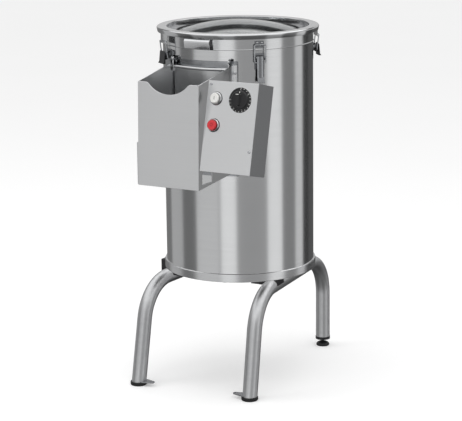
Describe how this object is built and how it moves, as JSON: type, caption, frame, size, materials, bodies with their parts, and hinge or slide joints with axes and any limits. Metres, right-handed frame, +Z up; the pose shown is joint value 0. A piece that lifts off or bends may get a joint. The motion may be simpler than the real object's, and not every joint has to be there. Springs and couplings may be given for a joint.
{
  "type": "electric potato peeler",
  "caption": "Commercial drum potato peeler on a tube stand, with a clamped lid, a hooded discharge door and a tilted control box",
  "frame": {"origin": "centre of the bounding box at the floor", "axes": "+Z up; the discharge hood faces -Y and the control box stands to its right, towards +X"},
  "size_m": [0.4676, 0.745, 0.9863],
  "materials": {
    "brushed_stainless": "vertically brushed stainless steel sheet",
    "bright_stainless": "bright polished stainless steel",
    "satin_tube": "satin stainless steel tube",
    "satin_sheet": "satin folded stainless steel sheet",
    "panel_sheet": "fine satin control panel sheet",
    "box_sheet": "dark grey enclosure, satin",
    "black_plastic": "black moulded plastic, semi-matt",
    "black_rubber": "black rubber",
    "timer_black": "black timer dial with white marks",
    "white_button": "white push button",
    "red_button": "red push button",
    "clear_dome": "clear moulded window",
    "abrasive": "dark abrasive grit bonded in resin",
    "zinc_steel": "zinc plated steel fasteners",
    "cast_housing": "cast iron, turned where it seats",
    "motor_paint": "blue grey motor paint",
    "brass": "brass thread",
    "contact_plastic": "dark green switch block"
  },
  "bodies": {
    "root": {"side_tube": "satin_tube", "front_left_tube": "satin_tube", "saddle_blocks": "black_plastic", "frame_bolts": "zinc_steel", "front_foot_caps": "black_rubber", "anchor_tabs": "satin_sheet", "rear_tube_insert": "black_plastic", "outer_shell": "brushed_stainless", "base_ring": "bright_stainless", "base_plate": "satin_sheet", "chamber_floor": "satin_sheet", "abrasive_lining": "abrasive", "discharge_frame": "brushed_stainless", "discharge_seal": "black_rubber", "discharge_hood": "satin_sheet", "hood_screws": "zinc_steel", "lid_gasket": "black_rubber", "latch_bases": "bright_stainless", "bearing_housing": "cast_housing", "shaft_bearings": "zinc_steel", "drive_belt": "black_rubber", "motor_body": "motor_paint", "water_inlet": "brass", "drain_outlet": "satin_sheet", "control_box": "box_sheet", "control_panel": "panel_sheet", "control_bracket": "satin_sheet", "timer_body": "black_plastic", "timer_plate": "timer_black", "button_bezels": "bright_stainless", "contact_blocks": "contact_plastic", "panel_screws": "zinc_steel", "cable_gland": "black_plastic"},
    "lid": {"lid_band": "brushed_stainless", "lid_rim": "bright_stainless", "lid_pan": "bright_stainless", "lid_window": "clear_dome", "window_gasket": "black_rubber", "lid_grip": "bright_stainless", "lid_hooks": "bright_stainless", "latch_keepers": "bright_stainless"},
    "front_latch": {"front_latch_lever": "bright_stainless"},
    "front_bail": {"front_latch_bail": "zinc_steel"},
    "rear_latch": {"rear_latch_lever": "bright_stainless"},
    "rear_bail": {"rear_latch_bail": "zinc_steel"},
    "left_clamp": {"left_clamp_lever": "black_plastic"},
    "left_bail": {"left_clamp_bail": "zinc_steel"},
    "right_clamp": {"right_clamp_lever": "black_plastic"},
    "right_bail": {"right_clamp_bail": "zinc_steel"},
    "door": {"discharge_door": "satin_sheet"},
    "disc_drive": {"abrasive_disc": "abrasive", "disc_cap": "satin_sheet", "drive_shaft": "zinc_steel", "large_pulley": "cast_housing"},
    "motor_rotor": {"motor_shaft": "zinc_steel", "motor_pulley": "cast_housing"},
    "timer": {"timer_knob": "timer_black"},
    "start": {"start_button": "white_button"},
    "stop": {"stop_button": "red_button"},
    "foot": {"levelling_foot": "black_rubber"}
  },
  "joints": [
    {"name": "lid_lift", "type": "slide", "parent": "root", "child": "lid", "axis": [0, 0, 1], "range_m": [0, 0.15]},
    {"name": "front_latch_lever", "type": "hinge", "parent": "root", "child": "front_latch", "pos_m": [0.14453, -0.14829, 0.912], "axis": [0.7071, 0.7071, 0], "range_deg": [-110, 0]},
    {"name": "front_latch_bail", "type": "hinge", "parent": "front_latch", "child": "front_bail", "pos_m": [0.14453, -0.14829, 0.9], "axis": [0.7071, 0.7071, 0], "range_deg": [-1, 138.5]},
    {"name": "rear_latch_lever", "type": "hinge", "parent": "root", "child": "rear_latch", "pos_m": [-0.15104, 0.14728, 0.912], "axis": [-0.7071, -0.7071, 0], "range_deg": [-110, 0]},
    {"name": "rear_latch_bail", "type": "hinge", "parent": "rear_latch", "child": "rear_bail", "pos_m": [-0.15104, 0.14728, 0.9], "axis": [-0.7071, -0.7071, 0], "range_deg": [-1, 138.5]},
    {"name": "left_clamp_lever", "type": "hinge", "parent": "root", "child": "left_clamp", "pos_m": [-0.12727, -0.1712, 0.912], "axis": [0.809, -0.5878, 0], "range_deg": [-110, 0]},
    {"name": "left_clamp_bail", "type": "hinge", "parent": "left_clamp", "child": "left_bail", "pos_m": [-0.12727, -0.1712, 0.9], "axis": [0.809, -0.5878, 0], "range_deg": [-1, 138.5]},
    {"name": "right_clamp_lever", "type": "hinge", "parent": "root", "child": "right_clamp", "pos_m": [0.15838, 0.13513, 0.912], "axis": [-0.6428, 0.766, 0], "range_deg": [-110, 0]},
    {"name": "right_clamp_bail", "type": "hinge", "parent": "right_clamp", "child": "right_bail", "pos_m": [0.15838, 0.13513, 0.9], "axis": [-0.6428, 0.766, 0], "range_deg": [-1, 138.5]},
    {"name": "door_hinge", "type": "hinge", "parent": "root", "child": "door", "pos_m": [-0.00325, -0.1935, 0.903], "axis": [1, 0, 0], "range_deg": [-32, 0]},
    {"name": "disc_spin", "type": "hinge", "parent": "root", "child": "disc_drive", "pos_m": [-0.00325, -0.0005, 0.61], "axis": [0, 0, 1], "continuous": true},
    {"name": "motor_spin", "type": "hinge", "parent": "root", "child": "motor_rotor", "pos_m": [-0.00325, -0.1245, 0.499], "axis": [0, 0, 1], "continuous": true},
    {"name": "timer_turn", "type": "hinge", "parent": "root", "child": "timer", "pos_m": [0.18575, -0.33441, 0.83408], "axis": [0, 0.9724, -0.2334], "range_deg": [0, 270]},
    {"name": "start_press", "type": "slide", "parent": "root", "child": "start", "axis": [0, 0.9724, -0.2334], "range_m": [0, 0.004], "stiffness_N_per_m": 400},
    {"name": "stop_press", "type": "slide", "parent": "root", "child": "stop", "axis": [0, 0.9724, -0.2334], "range_m": [0, 0.004], "stiffness_N_per_m": 400},
    {"name": "foot_turn", "type": "hinge", "parent": "root", "child": "foot", "pos_m": [0.07275, 0.3515, 0.01], "axis": [0, 0, 1], "continuous": true}
  ],
  "couplings": [
    {"joint": "front_latch_bail", "follows": "front_latch_lever", "ratio": -1.25},
    {"joint": "rear_latch_bail", "follows": "rear_latch_lever", "ratio": -1.25},
    {"joint": "left_clamp_bail", "follows": "left_clamp_lever", "ratio": -1.25},
    {"joint": "right_clamp_bail", "follows": "right_clamp_lever", "ratio": -1.25},
    {"joint": "motor_spin", "follows": "disc_spin", "ratio": 4.3333}
  ]
}
